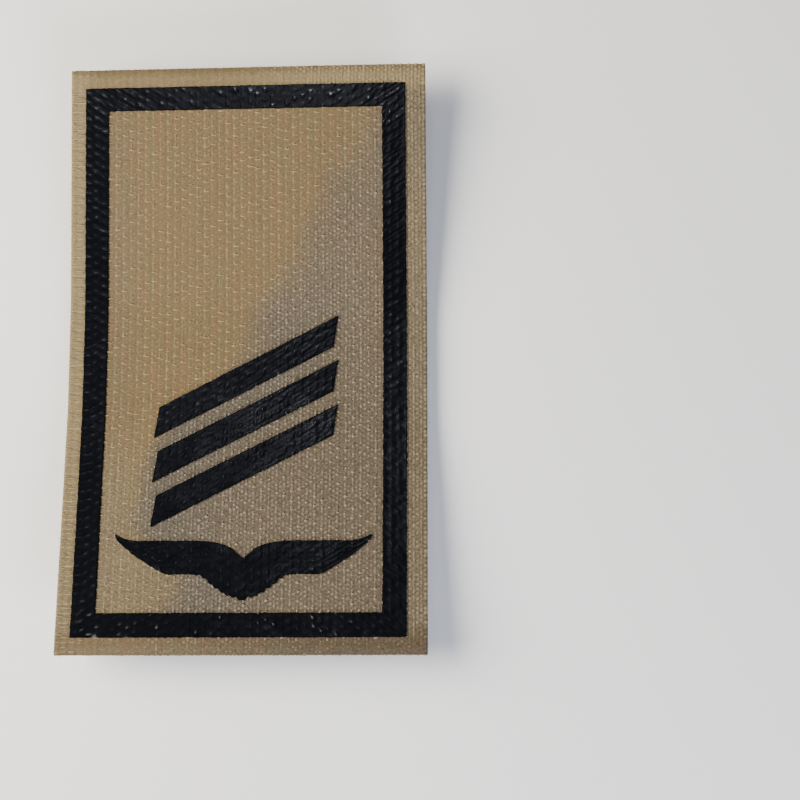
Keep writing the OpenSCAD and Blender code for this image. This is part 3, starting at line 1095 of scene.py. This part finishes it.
def rimTree(sizes):
    graph = startTree("Fused Edge", sizes)
    addSteps(graph, (
        ("noise", "ShaderNodeTexNoise", {"Vector": "place", "Scale": "Lump Scale", "Detail": 2.0}),
        ("wide", "MULTIPLY_ADD", "Inset", -2.0, tapeWidth),
        ("long", "MULTIPLY_ADD", "Inset", -2.0, tapeLength),
        ("level", "ShaderNodeCombineXYZ", 0.0, 0.0, "Level"),
        ("path", "GeometryNodeCurvePrimitiveQuadrilateral", {"Width": "wide", "Height": "long"}),
    ))
    addFades(graph, rimFades, "LINEAR")
    path = addNode(graph, "GeometryNodeResampleCurve", {"Curve": "path", "Length": "Step"}, mode="LENGTH")
    noisePush(graph, "noise", "Lumps")
    push = addNode(graph, "ShaderNodeVectorMath", ("push", "level"), operation="ADD")
    path = addNode(graph, "GeometryNodeSetPosition", {"Geometry": path, "Offset": push})
    rim = sweepOval(graph, path, "Sides", "Width", "Height", "lump", caps=False)
    toned = addNode(graph, "GeometryNodeStoreNamedAttribute",
                    {"Geometry": rim, "Name": "strandTone", "Value": "noise"})
    layDown(graph, toned)
    return graph["tree"]


fusedEdge = growPiece("fused_edge", rimTree(rimSizes), rimSizes)
print("fused edge ready")

# Loose fibres: a few filaments that the hot cut left standing out of the edge

fibreSizes = {
    "Count": 120,
    "Root": 0.1,                # how far inside the edge a fibre starts
    "Reach": 0.45,              # how far it stands out
    "Bow": 0.25,                # how far it bends aside
    "Thickness": 0.04,
    "Steps": 4,
    "Sides": 3,
    "Level": rimSizes["Level"],
    "Seed": 52,
    "Material": floatMaterial,
}
fibreSpread = {
    "lean": ((-0.7, -0.7, -0.5), (0.7, 0.7, 0.5)),
    "size": ((0.3, -1.0, -1.0), (1.2, 1.0, 1.0)),       # a share below 0 bends the other way
}


def fibreTree(sizes):
    graph = startTree("Loose Fibres", sizes)
    addSteps(graph, (
        ("wide", "MULTIPLY_ADD", "Root", -2.0, tapeWidth),
        ("long", "MULTIPLY_ADD", "Root", -2.0, tapeLength),
        ("where", "FunctionNodeRandomValue", 0.0, 1.0, None, "Seed"),
        ("level", "ShaderNodeCombineXYZ", 0.0, 0.0, "Level"),
        ("middle", "ShaderNodeCombineXYZ", "Reach"),
        ("tip", "ShaderNodeCombineXYZ", "Reach", "Bow"),
        ("edge", "GeometryNodeCurvePrimitiveQuadrilateral", {"Width": "wide", "Height": "long"}),
        ("path", "GeometryNodeCurveQuadraticBezier",
         {"Resolution": "Steps", "Start": (0.0, 0.0, 0.0), "Middle": "middle", "End": "tip"}),
    ))
    station = addNode(graph, "GeometryNodeSampleCurve", {"Curves": "edge", "Factor": "where"},
                      mode="FACTOR")
    lean, size = [addNode(graph, "FunctionNodeRandomValue", (*fibreSpread[name], None, seeds[seed]),
                          data_type="FLOAT_VECTOR")
                  for name, seed in (("lean", "fibreLean"), ("size", "fibreSize"))]
    addSteps(graph, (
        ("outward", "ShaderNodeVectorMath CROSS_PRODUCT", station.outputs["Tangent"], (0.0, 0.0, 1.0)),
        ("outward", "ShaderNodeVectorMath ADD", "outward", lean),
        ("root", "ShaderNodeVectorMath ADD", station.outputs["Position"], "level"),
        ("points", "GeometryNodePoints", {"Count": "Count", "Position": "root"}),
    ))
    facing = addNode(graph, "FunctionNodeAlignRotationToVector", {"Vector": "outward"}, axis="X")
    fibres = addNode(graph, "GeometryNodeInstanceOnPoints",
                     {"Points": "points", "Instance": "path", "Rotation": facing, "Scale": size})
    fibres = addNode(graph, "GeometryNodeRealizeInstances", (fibres,))
    layDown(graph, sweepOval(graph, fibres, "Sides", "Thickness", "Thickness", upright=False))
    return graph["tree"]


looseFibres = growPiece("loose_fibres", fibreTree(fibreSizes), fibreSizes)
print("loose fibres ready")

# Printed films: fine flat grids that sag on to the yarns under them, placed and sized as in the solid model

printing = {
    "marginLeft": 2.3,
    "marginRight": 3.1,
    "marginTop": 2.9,
    "marginBottom": 2.6,
    "frameLine": 3.6,
    "stripeRun": 27.2,
    "stripeRise": 14.0,
    "stripeDepth": 4.8,
    "stripeStep": 6.85,
    "stripeLean": 0.7,
    "stripeX": -14.0,
    "stripeY": -12.3,
    "wingsY": -28.05,
    "wingsDepth": 6.0,          # depth for which the rows of cells up the wings are counted
    "cell": 0.16,               # side of a mesh cell
    # one half of the wings: distance from their middle, upper edge and lower edge
    "wingRows": [(0.0, -2.60, -9.15), (0.9, -1.95, -8.60), (1.8, -1.15, -8.45), (2.7, -0.72, -8.05),
                 (3.6, -0.42, -7.40), (4.5, -0.25, -6.80), (5.4, -0.12, -5.95), (6.3, -0.05, -5.40),
                 (7.5, 0.00, -5.10), (9.0, 0.00, -5.05), (11.2, 0.00, -5.05), (12.4, 0.00, -4.60),
                 (14.3, 0.00, -3.45), (16.1, 0.02, -2.30), (17.2, 0.15, -1.45), (18.1, 0.45, -0.70),
                 (18.8, 0.78, 0.00), (19.2, 0.95, 0.72)],
    "featherWidth": 0.9,
    "featherNotch": 0.34,       # depth of a notch between two feathers up to featherReach from the middle
    "featherReach": 6.6,
    "outerNotch": 0.2,          # share of that depth beyond it
}


def between(a, b, t):
    return a + (b - a) * t


# A flat mesh from rows of points that run across the film. A closed one joins its last row to its first.
def gridMesh(name, rows, closed=False):
    across = len(rows[0])
    points = [(x, y, 0.0) for row in rows for x, y in row]
    faces = []
    for j in range(len(rows) if closed else len(rows) - 1):
        a = j * across
        b = (j + 1) % len(rows) * across
        faces += [(a + i, a + i + 1, b + i + 1, b + i) for i in range(across - 1)]
    flatMesh = bpy.data.meshes.new(name)
    flatMesh.from_pydata(points, [], faces)
    return flatMesh


def frameRows():
    line = printing["frameLine"]
    left, right = printing["marginLeft"] - tapeWidth / 2, tapeWidth / 2 - printing["marginRight"]
    low, high = printing["marginBottom"] - tapeLength / 2, tapeLength / 2 - printing["marginTop"]
    corners = [(left, low, 1, 1), (left, high, 1, -1), (right, high, -1, -1), (right, low, -1, 1)]
    across = round(line / printing["cell"])
    rows = []
    for i, (x, y, inX, inY) in enumerate(corners):
        nextX, nextY, nextInX, nextInY = corners[(i + 1) % 4]
        steps = round(math.hypot(nextX - x, nextY - y) / printing["cell"])
        for k in range(steps):
            t = k / steps
            rows.append([(between(x, nextX, t) + between(inX, nextInX, t) * line * n / across,
                          between(y, nextY, t) + between(inY, nextInY, t) * line * n / across)
                         for n in range(across + 1)])
    return rows


def stripeRows(number):
    up = round(printing["stripeDepth"] / printing["cell"])
    right = round(printing["stripeRun"] / printing["cell"])
    low = printing["stripeY"] - number * printing["stripeStep"]
    return [[(printing["stripeX"] + printing["stripeRun"] * i / right + printing["stripeLean"] * j / up,
              low + printing["stripeRise"] * i / right + printing["stripeDepth"] * j / up)
             for i in range(right + 1)] for j in range(up + 1)]


# Height of one edge of the wings, 1 upper and 2 lower, at a distance from their middle
def wingEdge(out, edge):
    rows = printing["wingRows"]
    i = max(k for k in range(len(rows) - 1) if rows[k][0] <= out)
    a, b = rows[i], rows[i + 1]

    def slope(k):
        before, after = rows[max(k - 1, 0)], rows[min(k + 1, len(rows) - 1)]
        return (after[edge] - before[edge]) / (after[0] - before[0])

    run = b[0] - a[0]
    t = (out - a[0]) / run
    return ((2 * t ** 3 - 3 * t ** 2 + 1) * a[edge] + (3 * t ** 2 - 2 * t ** 3) * b[edge]
            + run * ((t ** 3 - 2 * t ** 2 + t) * slope(i) + (t ** 3 - t ** 2) * slope(i + 1)))


def wingRows():
    half = printing["wingRows"][-1][0]
    right = 2 * round(half / printing["cell"])
    up = round(printing["wingsDepth"] / printing["cell"])
    columns = []
    for i in range(right + 1):
        x = half * (2 * i / right - 1)
        out = min(abs(x), half)
        share = 1.0 if out < printing["featherReach"] else printing["outerNotch"]
        depth = printing["featherNotch"] * share
        notch = depth * (1 - abs(math.sin(math.pi * out / printing["featherWidth"])))
        low = wingEdge(out, 2) + notch * min(1, half - out)
        high = wingEdge(out, 1)
        columns.append([(x, printing["wingsY"] + between(low, high, j / up)) for j in range(up + 1)])
    return [[column[j] for column in columns] for j in range(up + 1)]


filmSizes = {
    "Thickness": 0.08,
    "Probe": 0.07,              # reach round each point in which the film finds the highest yarn
    "Bite": 0.05,               # depth that the highest yarns press into the film
    "Clearance": 0.08,
    "Highest": levels["crest"] + 0.08,
    "Lowest": levels["crest"] - 0.16,
    "Creases": 0.10,            # height of the leathery creases between the yarns
    "Crease Scale": 0.45,
    "Sag": 2,                   # times that the film's heights are smoothed between the yarns
    "Rounding": 1,              # and over them
    "Jag": 0.26,                # unevenness of the print's outline
    "Jag Scale": 1.5,
    "Seed": 41.0,
    "Material": printMaterial,
}
rays = {
    "rise": 2.0,                # height over the yarns from which they fall
    "length": 5.0,
    "asides": ((0.0, 0.0, 0.0), (1.0, 0.0, 0.0), (-1.0, 0.0, 0.0), (0.0, 1.0, 0.0), (0.0, -1.0, 0.0)),
}
sagSteps = (
    ("hit", "MULTIPLY", "hit", 1 / mm),
    ("level", "SUBTRACT", "hit", "Rest Height"),
    ("level", "MINIMUM", "level", "Highest"),
    ("level", "MAXIMUM", "level", "Lowest"),
    ("blurred", "GeometryNodeBlurAttribute", "level", "Sag"),
    ("sunk", "SUBTRACT", "level", "Bite"),
    ("folds", "ADD", "folds", -0.5),
    ("blurred", "MULTIPLY_ADD", "folds", "Creases", "blurred"),
    ("sagged", "MAXIMUM", "blurred", "sunk"),
    ("sagged", "ADD", "sagged", "Clearance"),
    ("sagged", "GeometryNodeBlurAttribute", "sagged", "Rounding"),
)


# Rays fall from over the patch on to the weave, and the film rests on the highest thing that they find
def filmTree(sizes, targets):
    graph = startTree("Printed Film", sizes)
    graph["jag"] = addNode(graph, "ShaderNodeTexNoise",
                           {"Vector": "place", "Scale": "Jag Scale", "Detail": 2.0, "W": "Seed"},
                           noise_dimensions="4D")
    noisePush(graph, "jag", "Jag")
    addSteps(graph, (
        ("push", "ShaderNodeVectorMath MULTIPLY", "push", (1.0, 1.0, 0.0)),
        ("film", "GeometryNodeSetPosition", {"Geometry": "Geometry", "Offset": "push"}),
        ("above", "ADD", "Rest Height", levels["crest"] + rays["rise"]),
        ("above", "ShaderNodeCombineXYZ", 0.0, 0.0, "above"),
        ("above", "ShaderNodeVectorMath ADD", "place", "above"),
    ))
    under = addNode(graph, "GeometryNodeJoinGeometry")
    for target in targets:
        info = addNode(graph, "GeometryNodeObjectInfo", {"Object": target})
        giveInputs(graph, under, (info.outputs["Geometry"],))
    found = []
    for aside in rays["asides"]:
        addSteps(graph, (
            ("start", "ShaderNodeVectorMath MULTIPLY_ADD", aside, "Probe", "above"),
            ("start", "ShaderNodeVectorMath SCALE", "start", mm),
        ))
        ray = addNode(graph, "GeometryNodeRaycast",
                      {"Target Geometry": under, "Source Position": "start",
                       "Ray Direction": (0.0, 0.0, -1.0), "Ray Length": rays["length"] * mm})
        found.append(addNode(graph, "ShaderNodeSeparateXYZ", (ray.outputs["Hit Position"],)).outputs["Z"])
    graph["hit"] = found[0]
    addSteps(graph, (
        *(("hit", "MAXIMUM", "hit", height) for height in found[1:]),
        ("folds", "ShaderNodeTexNoise",
         {"Vector": "place", "Scale": "Crease Scale", "Detail": 2.0, "Distortion": 1.2}),
        *sagSteps,
        ("film", "GeometryNodeStoreNamedAttribute",
         {"Geometry": "film", "Name": "relief", "Value": "sagged"}),
        ("relief", "GeometryNodeInputNamedAttribute", {"Name": "relief"}),
        ("lift", "ShaderNodeCombineXYZ", 0.0, 0.0, "relief"),
        ("film", "GeometryNodeSetPosition", {"Geometry": "film", "Offset": "lift"}),
    ))
    closed, walls = thicken(graph, "film")
    layDown(graph, closed, walls)
    return graph["tree"]


filmNodes = {
    "border_print": gridMesh("border_print", frameRows(), closed=True),
    "upper_stripe": gridMesh("upper_stripe", stripeRows(0)),
    "middle_stripe": gridMesh("middle_stripe", stripeRows(1)),
    "lower_stripe": gridMesh("lower_stripe", stripeRows(2)),
    "wings_print": gridMesh("wings_print", wingRows()),
}
filmGrower = filmTree(filmSizes, [groundEnds, bindingEnds, picks, bindingFloats])
for i, (node, flatMesh) in enumerate(filmNodes.items()):
    film = growPiece(node + "_film", filmGrower, dict(filmSizes, Seed=filmSizes["Seed"] + i), flatMesh)
    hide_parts(node)
    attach(film, body)
print("films ready")

woven = [groundEnds, bindingEnds, picks, bindingFloats, web, fusedEdge, looseFibres]
for piece in woven:
    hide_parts("tape_ground")
    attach(piece, body)
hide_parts("hook_field")
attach(hooks, body)
